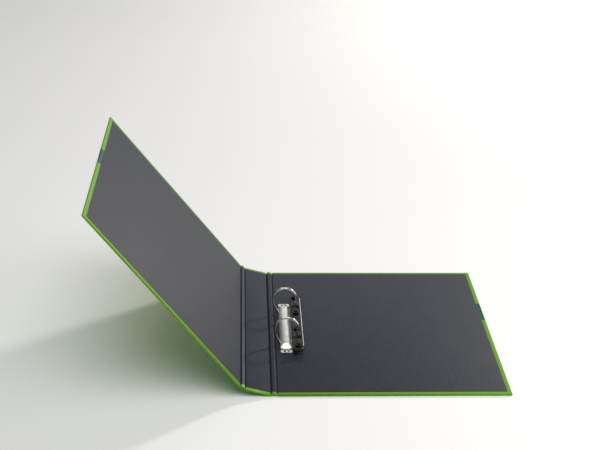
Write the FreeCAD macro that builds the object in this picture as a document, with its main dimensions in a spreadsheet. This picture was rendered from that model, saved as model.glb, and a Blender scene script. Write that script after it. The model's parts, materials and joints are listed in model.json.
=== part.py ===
import FreeCAD, Part
import math
import os
import re
import Sketcher

# A ring binder lying open: the back cover is flat on the ground, the spine leans up from it and the
# front cover stands up from the spine. Two narrow hinge strips join the three boards. A two-ring
# mechanism with a compressor bar is riveted to the back cover.
# +X runs from the spine to the back cover's fore-edge, +Y to the head, +Z up. The origin is the middle
# of the back cover's outer face.

DIMENSIONS = {
    # cover boards, with the lime paper that wraps them and the dark sheet that lines them
    "cover_height": 318,
    "cover_width": 270,
    "spine_width": 30,
    "board_thickness": 2,
    "paper_thickness": 0.2,
    "liner_thickness": 0.3,
    "turn_in": 5,
    "edge_round": 0.8,
    # hinge strips: two folds each, and the angles that the spine and the front cover lean up at
    "strip_width": 8.2,
    "strip_thickness": 0.9,
    "strip_setback": 0.6,
    "fold_gap": 0.35,
    "back_fold_angle": 14.8,
    "front_fold_angle": 36.8,
    # ring mechanism
    "plate_offset": 13.2,
    "plate_width": 15,
    "plate_crown": 6,
    "plate_shoulder": 1.2,
    "plate_gauge": 0.7,
    "dome_length": 109,
    "dome_slope": 4,
    "tab_width": 14.2,
    "tab_thickness": 0.9,
    "tab_round": 2,
    "mechanism_length": 127,
    "ring_pitch": 80,
    "notch_width": 4,
    "notch_depth": 4.1,
    "notch_height": 4.8,
    # hollow rivets through the back cover
    "rivet_pitch": 119,
    "shank_radius": 1.8,
    "shank_clearance": 0.05,
    "flange_radius": 3.6,
    "flange_thickness": 0.5,
    "head_radius": 2.7,
    "head_height": 0.8,
    "dimple_radius": 1.1,
    "dimple_depth": 1.2,
    # blades inside the plate, each turning about its outer edge
    "blade_length": 100,
    "blade_width": 6,
    "blade_thickness": 0.8,
    "blade_height": 0.9,
    "blade_gap": 0.3,
    "seat_width": 3.2,
    "seat_depth": 2.2,
    # rings
    "wire_diameter": 3,
    "ring_top": 35.3,
    "tip_gap": 0.4,
    "tip_flat": 1.2,
    "shoulder_radius": 13.4,
    "leg_radius": 29.64,
    "root_height": 3.13,
    "root_radius": 3,
    "root_reach": 4,
    # compressor bar
    "bar_start": 7.9,
    "bar_width": 12.2,
    "bar_length": 139,
    "bar_base": 4.7,
    "bar_height": 4.7,
    "bar_top_gauge": 1.8,
    "bar_skirt": 1,
    "bar_round": 1,
    "bar_corner": 2.5,
    "slot_start": 8.85,
    "slot_length": 5.15,
    "slot_width": 4.2,
    "grip_outward": 23.5,
    "grip_inward": 19.5,
    "grip_radius": 3.6,
    "grip_height": 2.6,
    "grip_round": 1.2,
    "rib_width": 1.6,
    "rib_height": 0.9,
    "rib_length": 18,
    "edge_length": 125,
    "edge_gauge": 0.6,
    "edge_height": 1.6,
    "edge_lift": 0.4,
    # clamps beside the right ring legs
    "clamp_start": 14.7,
    "clamp_length": 4,
    "clamp_width": 5.2,
    "clamp_nose": 1.4,
    "clamp_height": 2,
    "clamp_float": 0.05,
    "clamp_taper": 0.9,
}

doc = FreeCAD.newDocument("RingBinder")
sheet = doc.addObject("Spreadsheet::Sheet", "dims")
for row, (alias, number) in enumerate(DIMENSIONS.items(), start=1):
    sheet.set(f"A{row}", alias.replace("_", " "))
    sheet.set(f"B{row}", str(number))
    sheet.setAlias(f"B{row}", alias)
doc.recompute()

# Places that several pieces share, as formulas on the sheet.
FOLD_HEIGHT = "(strip_thickness / 2)"
PANEL_NEAR = f"({FOLD_HEIGHT} + fold_gap)"
SPINE_FAR = f"(spine_width - {PANEL_NEAR})"
BOARD_BASE = f"(paper_thickness - {FOLD_HEIGHT})"
BOARD_TOP = f"(paper_thickness + board_thickness - {FOLD_HEIGHT})"
SHELL_THICKNESS = "(board_thickness + 2 * paper_thickness)"
LINER_FACE = "(paper_thickness + board_thickness + liner_thickness)"
PLATE_X = "(plate_offset - cover_width / 2)"
BAR_TOP = "(bar_base + bar_height)"
BAR_END = "(bar_start + bar_width)"

# The folds, from the back cover round to the front cover, each as (x, z), and the lean of what
# follows it. The back strip lies flat beside the back cover.
BACK_FOLD = ("-cover_width / 2", FOLD_HEIGHT)
BACK_STRIP_LEAN = "0"
SPINE_LEAN = "back_fold_angle"
FRONT_STRIP_LEAN = "(back_fold_angle + front_fold_angle / 2)"
FRONT_LEAN = "(back_fold_angle + front_fold_angle)"


def fold_after(fold, width, lean):
    """The next fold along, past a piece of this width that leans up from the one before."""
    x, z = fold
    return f"{x} - {width} * cos({lean})", f"{z} + {width} * sin({lean})"


SPINE_FOLD = fold_after(BACK_FOLD, "strip_width", BACK_STRIP_LEAN)
FRONT_STRIP_FOLD = fold_after(SPINE_FOLD, "spine_width", SPINE_LEAN)
FRONT_FOLD = fold_after(FRONT_STRIP_FOLD, "strip_width", FRONT_STRIP_LEAN)

SUBPARTS = []
Y_AXIS = FreeCAD.Vector(0, 1, 0)
Z_AXIS = FreeCAD.Vector(0, 0, 1)


def on_sheet(formula):
    """The formula with each of its words pointed at the sheet."""
    return re.sub(r"[a-z_]+", lambda word: f"dims.{word[0]}" if word[0] in DIMENSIONS else word[0], formula)


def bind(feature, name, formula):
    feature.setExpression(name, on_sheet(formula))


def subpart(obj):
    SUBPARTS.append(obj)
    return obj


def new_body(label):
    body = doc.addObject("PartDesign::Body", label)
    body.Label = label
    return body


def place(obj, x, z, lean=None, turned=False):
    """Puts a piece at (x, 0, z), leaning up about Y by a formula, or turned half round about Z."""
    if turned:
        obj.Placement.Rotation = FreeCAD.Rotation(Z_AXIS, 180)
    if lean:
        obj.Placement.Rotation = FreeCAD.Rotation(Y_AXIS, 1)
        bind(obj, "Placement.Rotation.Angle", lean)
    bind(obj, "Placement.Base.x", x)
    bind(obj, "Placement.Base.z", z)


def new_sketch(body, name, role, offset=None):
    """A sketch on one of the body's origin planes, moved along the plane's normal by a formula."""
    sketch = body.newObject("Sketcher::SketchObject", name)
    plane = next(f for f in body.Origin.OriginFeatures if f.Role == role)
    sketch.AttachmentSupport = (plane, [""])
    sketch.MapMode = "FlatFace"
    if offset:
        bind(sketch, "AttachmentOffset.Base.z", offset)
    return sketch


def fix_distance(sketch, kind, edge, end, formula):
    """Holds one point's DistanceX or DistanceY from the sketch's origin at a formula."""
    point = sketch.getPoint(edge, end)
    drawn = point.x if kind == "DistanceX" else point.y
    index = sketch.addConstraint(Sketcher.Constraint(kind, -1, 1, edge, end, drawn))
    bind(sketch, f"Constraints[{index}]", formula)


def fix_point(sketch, edge, end, x, y):
    fix_distance(sketch, "DistanceX", edge, end, x)
    fix_distance(sketch, "DistanceY", edge, end, y)


def fix_radius(sketch, edge, formula):
    drawn = sketch.Geometry[edge].Radius
    index = sketch.addConstraint(Sketcher.Constraint("Radius", edge, drawn))
    bind(sketch, f"Constraints[{index}]", formula)


def add_polygon(sketch, corners):
    """A closed outline whose corners are (x, y) formulas, anticlockwise."""
    first, count = sketch.GeometryCount, len(corners)
    turns = [2 * math.pi * i / count for i in range(count)]
    points = [FreeCAD.Vector(math.cos(turn), math.sin(turn), 0) for turn in turns]
    for i in range(count):
        sketch.addGeometry(Part.LineSegment(points[i], points[(i + 1) % count]), False)
    for i, (x, y) in enumerate(corners):
        following = first + (i + 1) % count
        sketch.addConstraint(Sketcher.Constraint("Coincident", first + i, 2, following, 1))
        fix_point(sketch, first + i, 1, x, y)


def add_rectangle(sketch, left, right, bottom, top):
    add_polygon(sketch, [(left, bottom), (right, bottom), (right, top), (left, top)])


def add_circle(sketch, x, y, radius):
    edge = sketch.addGeometry(Part.Circle(FreeCAD.Vector(0, 0, 0), Z_AXIS, 1), False)
    fix_point(sketch, edge, 3, x, y)
    fix_radius(sketch, edge, radius)


def pad(body, name, sketch, length, middle=False):
    feature = body.newObject("PartDesign::Pad", name)
    feature.Profile = sketch
    feature.SideType = "Symmetric" if middle else "One side"
    bind(feature, "Length", length)
    return feature


def pocket(body, name, sketch, length, middle=True):
    """A cut that reaches half the length to each side of its sketch, or all of it upwards."""
    doc.recompute()
    before = body.Shape.Volume
    feature = body.newObject("PartDesign::Pocket", name)
    feature.Profile = sketch
    feature.SideType = "Symmetric" if middle else "One side"
    feature.Reversed = not middle
    bind(feature, "Length", length)
    doc.recompute()
    if not body.Shape.Volume < before:
        raise RuntimeError(f"{name} in {body.Label} cuts nothing")
    return feature


def fillet(body, name, base, radius, wanted):
    """Rounds the edges of a feature for which wanted(edge, box of the whole shape) holds."""
    doc.recompute()
    box = base.Shape.BoundBox
    edges = [f"Edge{i}" for i, edge in enumerate(base.Shape.Edges, start=1) if wanted(edge, box)]
    feature = body.newObject("PartDesign::Fillet", name)
    feature.Base = (base, edges)
    bind(feature, "Radius", radius)
    return feature


def is_close(a, b):
    return abs(a - b) < 1e-4


def at_hinge(edge, box):
    """True for an edge of a panel's end face, where it meets a hinge strip."""
    return is_close(edge.BoundBox.XMin, box.XMax)


def at_either_end(edge, box):
    return at_hinge(edge, box) or is_close(edge.BoundBox.XMax, box.XMin)


def on_top(edge, box):
    return is_close(edge.BoundBox.ZMin, box.ZMax)


def upright(edge, box):
    return is_close(edge.BoundBox.XLength, 0) and is_close(edge.BoundBox.YLength, 0)


# Panels: drawn with the fold they hang from at the origin, running to -X, outer face down.


def rivet_holes(body, base, radius, length):
    sketch = new_sketch(body, "RivetHoles", "XY_Plane", base)
    for end in ("rivet_pitch / 2", "-rivet_pitch / 2"):
        add_circle(sketch, "-plate_offset", end, radius)
    return pocket(body, "RivetPockets", sketch, length, middle=False)


def make_board(label, far, edge_wrapped, riveted):
    """The stiff board inside a panel."""
    body = new_body(label)
    inset = "paper_thickness" if edge_wrapped else "0"
    half = "(cover_height / 2 - paper_thickness)"
    sketch = new_sketch(body, "BoardOutline", "XY_Plane", BOARD_BASE)
    add_rectangle(sketch, f"{inset} - {far}", f"-{PANEL_NEAR}", f"-{half}", half)
    plate = pad(body, "Board", sketch, "board_thickness")
    sharp = at_hinge if edge_wrapped else at_either_end
    fillet(body, "BoardRound", plate, "edge_round - paper_thickness", lambda e, b: not sharp(e, b))
    if riveted:
        rivet_holes(body, BOARD_BASE, "shank_radius + shank_clearance", "board_thickness")
        sketch = new_sketch(body, "FlangeSeats", "XY_Plane", BOARD_BASE)
        for end in ("rivet_pitch / 2", "-rivet_pitch / 2"):
            add_circle(sketch, "-plate_offset", end, "flange_radius + shank_clearance")
        pocket(body, "FlangeSeatPockets", sketch, "flange_thickness - paper_thickness", middle=False)
    return subpart(body)


def make_wrap(label, board, far, edge_wrapped, riveted):
    """The lime paper round a board: its outer face, its free edges and the margins turned inside."""
    shell = new_body(f"{label}_shell")
    half = "cover_height / 2"
    sketch = new_sketch(shell, "ShellOutline", "XY_Plane", f"-{FOLD_HEIGHT}")
    add_rectangle(sketch, f"-{far}", f"-{PANEL_NEAR}", f"-{half}", half)
    plate = pad(shell, "Shell", sketch, SHELL_THICKNESS)
    sharp = at_hinge if edge_wrapped else at_either_end
    fillet(shell, "ShellRound", plate, "edge_round", lambda e, b: not sharp(e, b))
    window = new_sketch(shell, "LinerWindow", "XY_Plane", BOARD_TOP)
    far_inset = "turn_in" if edge_wrapped else "0"
    inner_half = "(cover_height / 2 - turn_in)"
    add_rectangle(window, f"{far_inset} - {far}", f"-{PANEL_NEAR}", f"-{inner_half}", inner_half)
    pocket(shell, "LinerWindowPocket", window, "paper_thickness", middle=False)
    if riveted:
        rivet_holes(shell, f"-{FOLD_HEIGHT}", "flange_radius + shank_clearance", SHELL_THICKNESS)
    wrap = doc.addObject("Part::Cut", label)
    wrap.Label = label
    wrap.Base = shell
    wrap.Tool = board
    return shell, subpart(wrap)


def make_liner(label, far, edge_wrapped, riveted):
    """The dark sheet that lines the inside of a board, within the lime margins."""
    body = new_body(label)
    inset = "turn_in" if edge_wrapped else "0"
    half = "(cover_height / 2 - turn_in)"
    sketch = new_sketch(body, "LinerOutline", "XY_Plane", BOARD_TOP)
    add_rectangle(sketch, f"{inset} - {far}", f"-{PANEL_NEAR}", f"-{half}", half)
    pad(body, "Liner", sketch, "liner_thickness")
    if riveted:
        rivet_holes(body, BOARD_TOP, "shank_radius + shank_clearance", "liner_thickness")
    return subpart(body)


def make_panel(name, far, fold, lean=None, turned=False, edge_wrapped=True, riveted=False):
    board = make_board(f"{name}_board", far, edge_wrapped, riveted)
    shell, wrap = make_wrap(f"{name}_wrap", board, far, edge_wrapped, riveted)
    liner = make_liner(f"{name}_liner", far, edge_wrapped, riveted)
    for piece in (board, shell, liner):
        place(piece, *fold, lean=lean, turned=turned)


# Hinge strips: paper outside and liner inside, rounded about both folds so that they turn freely.


def make_strip_layer(label, side, fold, lean):
    """One layer of a strip: side is -1 for the outer layer and 1 for the inner one."""
    body = new_body(label)
    sketch = new_sketch(body, "LayerOutline", "XZ_Plane")
    radius = DIMENSIONS["strip_thickness"] / 2
    width = DIMENSIONS["strip_width"]
    near = Part.Circle(FreeCAD.Vector(0, 0, 0), Z_AXIS, radius)
    far = Part.Circle(FreeCAD.Vector(-width, 0, 0), Z_AXIS, radius)
    quarter = math.pi / 2
    if side > 0:
        near_arc, far_arc = (0, quarter), (quarter, 2 * quarter)
        near_rim, near_face, far_face, far_rim = 1, 2, 1, 2
    else:
        near_arc, far_arc = (-quarter, 0), (-2 * quarter, -quarter)
        near_rim, near_face, far_face, far_rim = 2, 1, 2, 1
    face = FreeCAD.Vector(0, side * radius, 0)
    sketch.addGeometry(Part.ArcOfCircle(near, *near_arc), False)
    sketch.addGeometry(Part.ArcOfCircle(far, *far_arc), False)
    sketch.addGeometry(Part.LineSegment(face, face - FreeCAD.Vector(width, 0, 0)), False)
    rims = FreeCAD.Vector(radius, 0, 0), FreeCAD.Vector(-width - radius, 0, 0)
    sketch.addGeometry(Part.LineSegment(*rims), False)
    sketch.addConstraint(Sketcher.Constraint("Coincident", 2, 1, 0, near_face))
    sketch.addConstraint(Sketcher.Constraint("Coincident", 2, 2, 1, far_face))
    sketch.addConstraint(Sketcher.Constraint("Coincident", 3, 1, 0, near_rim))
    sketch.addConstraint(Sketcher.Constraint("Coincident", 3, 2, 1, far_rim))
    fix_point(sketch, 0, 3, "0", "0")
    fix_point(sketch, 1, 3, "-strip_width", "0")
    fix_point(sketch, 3, 1, "strip_thickness / 2", "0")
    sketch.addConstraint(Sketcher.Constraint("Vertical", 0, 3, 0, near_face))
    sketch.addConstraint(Sketcher.Constraint("Vertical", 1, 3, 1, far_face))
    sketch.addConstraint(Sketcher.Constraint("PointOnObject", 1, far_rim, -1))
    sketch.addConstraint(Sketcher.Constraint("Horizontal", 2))
    pad(body, "Layer", sketch, "cover_height - 2 * strip_setback", middle=True)
    place(body, *fold, lean=lean)
    return subpart(body)


def make_strip(name, fold, lean):
    make_strip_layer(f"{name}_wrap", -1, fold, lean)
    make_strip_layer(f"{name}_liner", 1, fold, lean)


# Ring mechanism: drawn with the middle of the plate's underside at the origin.


def add_arch(sketch, half_width, shoulder, crown, numbers):
    """A doorway outline: upright sides up to the shoulder, then one arc over the crown."""
    wide, low, high = numbers
    radius = (wide**2 + (high - low) ** 2) / (2 * (high - low))
    centre = FreeCAD.Vector(0, high - radius, 0)
    start = math.atan2(low - centre.y, wide)
    arc = Part.ArcOfCircle(Part.Circle(centre, Z_AXIS, radius), start, math.pi - start)
    corners = [FreeCAD.Vector(x, y, 0) for x, y in ((-wide, 0), (wide, 0), (wide, low), (-wide, low))]
    sketch.addGeometry(Part.LineSegment(corners[0], corners[1]), False)
    sketch.addGeometry(Part.LineSegment(corners[1], corners[2]), False)
    sketch.addGeometry(arc, False)
    sketch.addGeometry(Part.LineSegment(corners[3], corners[0]), False)
    for edge in range(4):
        sketch.addConstraint(Sketcher.Constraint("Coincident", edge, 2, (edge + 1) % 4, 1))
    fix_point(sketch, 0, 1, f"-{half_width}", "0")
    fix_point(sketch, 1, 1, half_width, "0")
    fix_point(sketch, 2, 1, half_width, shoulder)
    fix_point(sketch, 3, 1, f"-{half_width}", shoulder)
    rise = f"({crown} - {shoulder})"
    fix_radius(sketch, 2, f"({half_width}^2 + {rise}^2) / (2 * {rise})")


def make_plate():
    """The domed steel plate over the blades, with a flat riveting tab at each end."""
    size = DIMENSIONS
    body = new_body("mechanism_plate")
    outside = new_sketch(body, "DomeOutside", "XZ_Plane")
    numbers = size["plate_width"] / 2, size["plate_shoulder"], size["plate_crown"]
    add_arch(outside, "(plate_width / 2)", "plate_shoulder", "plate_crown", numbers)
    pad(body, "Dome", outside, "dome_length", middle=True)
    slopes = new_sketch(body, "EndSlopes", "YZ_Plane")
    for side in ("1", "-1"):
        end = f"{side} * dome_length / 2"
        inner = f"{side} * (dome_length / 2 - dome_slope)"
        past = f"{side} * (dome_length / 2 + dome_slope)"
        corners = [(end, "tab_thickness"), (past, "tab_thickness"),
                   (past, "2 * plate_crown"), (inner, "plate_crown")]
        add_polygon(slopes, corners if side == "1" else corners[::-1])
    pocket(body, "EndSlopePockets", slopes, "2 * plate_width")
    tabs = new_sketch(body, "TabOutlines", "XY_Plane")
    for low, high in (("dome_length / 2 - dome_slope", "mechanism_length / 2"),
                      ("-mechanism_length / 2", "dome_slope - dome_length / 2")):
        add_rectangle(tabs, "-tab_width / 2", "tab_width / 2", low, high)
    tab_pad = pad(body, "Tabs", tabs, "tab_thickness")

    def at_tab_corner(edge, box):
        at_end = is_close(edge.BoundBox.YMax, box.YMin) or is_close(edge.BoundBox.YMin, box.YMax)
        return upright(edge, box) and at_end

    fillet(body, "TabRound", tab_pad, "tab_round", at_tab_corner)
    inside = new_sketch(body, "DomeInside", "XZ_Plane")
    gauge = size["plate_gauge"]
    numbers = numbers[0] - gauge, numbers[1] - gauge / 2, numbers[2] - gauge
    add_arch(inside, "(plate_width / 2 - plate_gauge)", "(plate_shoulder - plate_gauge / 2)",
             "(plate_crown - plate_gauge)", numbers)
    pocket(body, "DomeHollow", inside, "dome_length - 2 * (dome_slope / 2 + plate_gauge)")
    holes = new_sketch(body, "TabHoles", "XY_Plane")
    for end in ("rivet_pitch / 2", "-rivet_pitch / 2"):
        add_circle(holes, "0", end, "shank_radius + shank_clearance")
    pocket(body, "TabHolePockets", holes, "4 * tab_thickness")
    notches = new_sketch(body, "RingNotches", "XY_Plane")
    for ring in ("ring_pitch / 2", "-ring_pitch / 2"):
        low, high = f"{ring} - notch_width / 2", f"{ring} + notch_width / 2"
        inner, outer = "(plate_width / 2 - notch_depth)", "(plate_width / 2 + plate_gauge)"
        add_rectangle(notches, inner, outer, low, high)
        add_rectangle(notches, f"-{outer}", f"-{inner}", low, high)
    pocket(body, "RingNotchPockets", notches, "2 * notch_height")
    place(body, PLATE_X, LINER_FACE)
    return subpart(body)


def make_rivet(label, end):
    """A hollow rivet: flange flush with the outer face, shank, and a dimpled head on the tab."""
    body = new_body(label)
    sketch = new_sketch(body, "RivetProfile", "XZ_Plane")
    tab_top = f"({LINER_FACE} + tab_thickness)"
    head_top = f"({tab_top} + head_height)"
    dimple_base = f"({head_top} - dimple_depth)"
    add_polygon(sketch, [
        ("0", "0"), ("flange_radius", "0"), ("flange_radius", "flange_thickness"),
        ("shank_radius", "flange_thickness"), ("shank_radius", tab_top), ("head_radius", tab_top),
        ("head_radius", f"{tab_top} + head_height / 2"), ("head_radius - head_height / 2", head_top),
        ("dimple_radius", head_top), ("dimple_radius / 2", dimple_base), ("0", dimple_base)])
    turned = body.newObject("PartDesign::Revolution", "Rivet")
    turned.Profile = sketch
    turned.ReferenceAxis = (sketch, ["V_Axis"])
    turned.Angle = 360
    bind(body, "Placement.Base.y", f"{end} * rivet_pitch / 2")
    place(body, PLATE_X, "0")
    return subpart(body)


def make_blade(label, turned):
    """A blade, drawn on the right of the plate: its outer edge turns, its seats hold the ring roots."""
    body = new_body(label)
    outline = new_sketch(body, "BladeOutline", "XY_Plane", "blade_height")
    add_rectangle(outline, "blade_gap / 2", "blade_width", "-blade_length / 2", "blade_length / 2")
    pad(body, "Blade", outline, "blade_thickness")
    seats = new_sketch(body, "RingSeats", "XY_Plane", "blade_height")
    for ring in ("ring_pitch / 2", "-ring_pitch / 2"):
        add_rectangle(seats, "blade_width - seat_depth", "2 * blade_width",
                      f"{ring} - seat_width / 2", f"{ring} + seat_width / 2")
    pocket(body, "RingSeatPockets", seats, "4 * blade_thickness")
    place(body, PLATE_X, LINER_FACE, turned=turned)
    return subpart(body)


def add_ring_path(sketch):
    """Half a ring on the right: tip, shoulder arc, leg arc, root arc, and the end in the blade."""
    size = DIMENSIONS
    top, flat, shoulder = size["ring_top"], size["tip_flat"], size["shoulder_radius"]
    leg, root, root_height = size["leg_radius"], size["root_radius"], size["root_height"]
    waist = top - shoulder
    lean = math.asin((waist - root_height) / leg)
    leg_centre = FreeCAD.Vector(flat + shoulder - leg, waist, 0)
    inward = FreeCAD.Vector(math.cos(lean), -math.sin(lean), 0)
    root_centre = leg_centre + inward * (leg - root)
    root_end = root_centre - FreeCAD.Vector(0, root, 0)
    start = FreeCAD.Vector(size["tip_gap"] / 2, top, 0)
    arcs = ((FreeCAD.Vector(flat, waist, 0), shoulder, 0, math.pi / 2),
            (leg_centre, leg, -lean, 0),
            (root_centre, root, -math.pi / 2, -lean))
    sketch.addGeometry(Part.LineSegment(start, FreeCAD.Vector(flat, top, 0)), False)
    for centre, radius, low, high in arcs:
        sketch.addGeometry(Part.ArcOfCircle(Part.Circle(centre, Z_AXIS, radius), low, high), False)
    reach = FreeCAD.Vector(size["root_reach"], root_end.y, 0)
    sketch.addGeometry(Part.LineSegment(root_end, reach), False)
    fix_point(sketch, 0, 1, "tip_gap / 2", "ring_top")
    fix_point(sketch, 1, 3, "tip_flat", "ring_top - shoulder_radius")
    sketch.addConstraint(Sketcher.Constraint("Tangent", 0, 2, 1, 2))
    sketch.addConstraint(Sketcher.Constraint("Tangent", 1, 1, 2, 2))
    sketch.addConstraint(Sketcher.Constraint("Tangent", 2, 1, 3, 2))
    sketch.addConstraint(Sketcher.Constraint("Tangent", 3, 1, 4, 1))
    sketch.addConstraint(Sketcher.Constraint("Horizontal", 1, 3, 1, 1))
    sketch.addConstraint(Sketcher.Constraint("Horizontal", 0))
    sketch.addConstraint(Sketcher.Constraint("Horizontal", 4))
    fix_radius(sketch, 2, "leg_radius")
    fix_radius(sketch, 3, "root_radius")
    fix_distance(sketch, "DistanceY", 2, 1, "root_height")
    fix_distance(sketch, "DistanceX", 4, 2, "root_reach")


def make_ring_half(label, ring, turned):
    """Half a ring of round wire, in the plane y = ring of the mechanism."""
    body = new_body(label)
    path = new_sketch(body, "RingPath", "XZ_Plane", f"-({ring})")
    add_ring_path(path)
    section = new_sketch(body, "WireSection", "YZ_Plane", "tip_gap / 2")
    add_circle(section, ring, "ring_top", "wire_diameter / 2")
    doc.recompute()
    wire = body.newObject("PartDesign::AdditivePipe", "Wire")
    wire.Profile = section
    wire.Spine = (path, [f"Edge{i + 1}" for i in range(path.GeometryCount)])
    place(body, PLATE_X, LINER_FACE, turned=turned)
    return subpart(body)


def make_ring_side(side, turned):
    make_blade(f"{side}_blade", turned)
    for end, sign in (("head", "1"), ("tail", "-1")):
        facing = "-1" if turned else "1"
        make_ring_half(f"{side}_ring_{end}", f"{sign} * {facing} * ring_pitch / 2", turned)


# Compressor bar: rides up and down the right ring legs.


def make_bar():
    """The bar: an upside-down channel with a slot for each right ring leg and a rib beside it."""
    body = new_body("bar_channel")
    outline = new_sketch(body, "BarOutline", "XY_Plane", "bar_base")
    add_rectangle(outline, "bar_start", BAR_END, "-bar_length / 2", "bar_length / 2")
    block = pad(body, "Bar", outline, "bar_height")
    corners = fillet(body, "BarCorners", block, "bar_corner", upright)
    rim = fillet(body, "BarRim", corners, "bar_round", on_top)
    ribs = new_sketch(body, "BarRibs", "XY_Plane", BAR_TOP)
    middle = "(bar_start + bar_width / 2)"
    for end in ("1", "-1"):
        for reach in ("grip_outward", "-grip_inward"):
            centre = f"{end} * (ring_pitch / 2 + {reach} / 2)"
            add_rectangle(ribs, f"{middle} - rib_width / 2", f"{middle} + rib_width / 2",
                          f"{centre} - rib_length / 6", f"{centre} + rib_length / 6")
    pad(body, "Ribs", ribs, "rib_height")
    hollow = new_sketch(body, "BarHollow", "XY_Plane", "bar_base")
    end = "(bar_length / 2 - bar_corner)"
    add_rectangle(hollow, "bar_start + bar_skirt", f"{BAR_END} - bar_skirt", f"-{end}", end)
    pocket(body, "BarHollowPocket", hollow, "bar_height - bar_top_gauge", middle=False)
    slots = new_sketch(body, "RingSlots", "XY_Plane", "bar_base")
    gaps = new_sketch(body, "SkirtGaps", "XY_Plane", "bar_base")
    for ring in ("ring_pitch / 2", "-ring_pitch / 2"):
        low, high = f"{ring} - slot_width / 2", f"{ring} + slot_width / 2"
        add_rectangle(slots, "slot_start", "slot_start + slot_length", low, high)
        add_rectangle(gaps, "bar_start - bar_skirt", "slot_start + bar_skirt", low, high)
    pocket(body, "RingSlotPockets", slots, "2 * bar_height", middle=False)
    pocket(body, "SkirtGapPockets", gaps, "bar_height - bar_top_gauge", middle=False)
    place(body, PLATE_X, LINER_FACE)
    return subpart(body)


def make_grip(label, y):
    """A round finger grip on the bar."""
    body = new_body(label)
    outline = new_sketch(body, "GripOutline", "XY_Plane", BAR_TOP)
    add_circle(outline, "bar_start + bar_width / 2", y, "grip_radius")
    button = pad(body, "Grip", outline, "grip_height")
    fillet(body, "GripRound", button, "grip_round", on_top)
    place(body, PLATE_X, LINER_FACE)
    return subpart(body)


def make_bar_edge():
    """The bright steel strip along the bar's outer side."""
    body = new_body("bar_edge")
    top = f"({BAR_TOP} + edge_lift)"
    outline = new_sketch(body, "EdgeOutline", "XY_Plane", f"{top} - edge_height")
    add_rectangle(outline, BAR_END, f"{BAR_END} + edge_gauge", "-edge_length / 2", "edge_length / 2")
    pad(body, "Edge", outline, "edge_height")
    place(body, PLATE_X, LINER_FACE)
    return subpart(body)


def make_clamp(label, ring):
    """A sliding clamp whose nose grips a ring leg."""
    body = new_body(label)
    outline = new_sketch(body, "ClampOutline", "XY_Plane", f"{BAR_TOP} + clamp_float")
    half = "clamp_width / 2"
    start, end = "clamp_start", "(clamp_start + clamp_length)"
    add_polygon(outline, [
        (end, f"{ring} - {half}"), (end, f"{ring} + {half}"),
        (f"{start} + clamp_nose", f"{ring} + {half}"), (start, f"{ring} + clamp_width / 6"),
        (start, f"{ring} - clamp_width / 6"), (f"{start} + clamp_nose", f"{ring} - {half}")])
    block = pad(body, "Clamp", outline, "clamp_height")
    fillet(body, "ClampRound", block, "clamp_taper", on_top)
    place(body, PLATE_X, LINER_FACE)
    return subpart(body)


make_panel("back", "cover_width", BACK_FOLD, turned=True, riveted=True)
make_strip("back_strip", BACK_FOLD, BACK_STRIP_LEAN)
make_panel("spine", SPINE_FAR, SPINE_FOLD, lean=SPINE_LEAN, edge_wrapped=False)
make_strip("front_strip", FRONT_STRIP_FOLD, FRONT_STRIP_LEAN)
make_panel("front", "cover_width", FRONT_FOLD, lean=FRONT_LEAN)
make_plate()
make_rivet("rivet_head", "1")
make_rivet("rivet_tail", "-1")
make_ring_side("right", turned=False)
make_ring_side("left", turned=True)
make_bar()
for ring_end, ring_at, above, below in (("head", "ring_pitch / 2", "grip_outward", "grip_inward"),
                                        ("tail", "-ring_pitch / 2", "grip_inward", "grip_outward")):
    make_grip(f"grip_{ring_end}_a", f"{ring_at} + {above}")
    make_grip(f"grip_{ring_end}_b", f"{ring_at} - {below}")
    make_clamp(f"clamp_{ring_end}", ring_at)
make_bar_edge()

doc.recompute()
for obj in doc.Objects:
    if {"Invalid", "Error"} & set(obj.State):
        raise RuntimeError(f"{obj.Label} failed: {obj.State}")
for piece in SUBPARTS:
    if piece.Shape.isNull() or not piece.Shape.isValid():
        raise RuntimeError(f"{piece.Label} has no valid shape")

os.makedirs("parts", exist_ok=True)
for piece in SUBPARTS:
    piece.Shape.exportStep(f"parts/{piece.Label}.step")
    solids, volume = len(piece.Shape.Solids), piece.Shape.Volume
    print(f"{piece.Label}: {solids} solid, {volume:.1f} cubic mm")
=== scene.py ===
import json
import math

import bmesh
import bpy
from mathutils import Matrix, Vector

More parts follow.
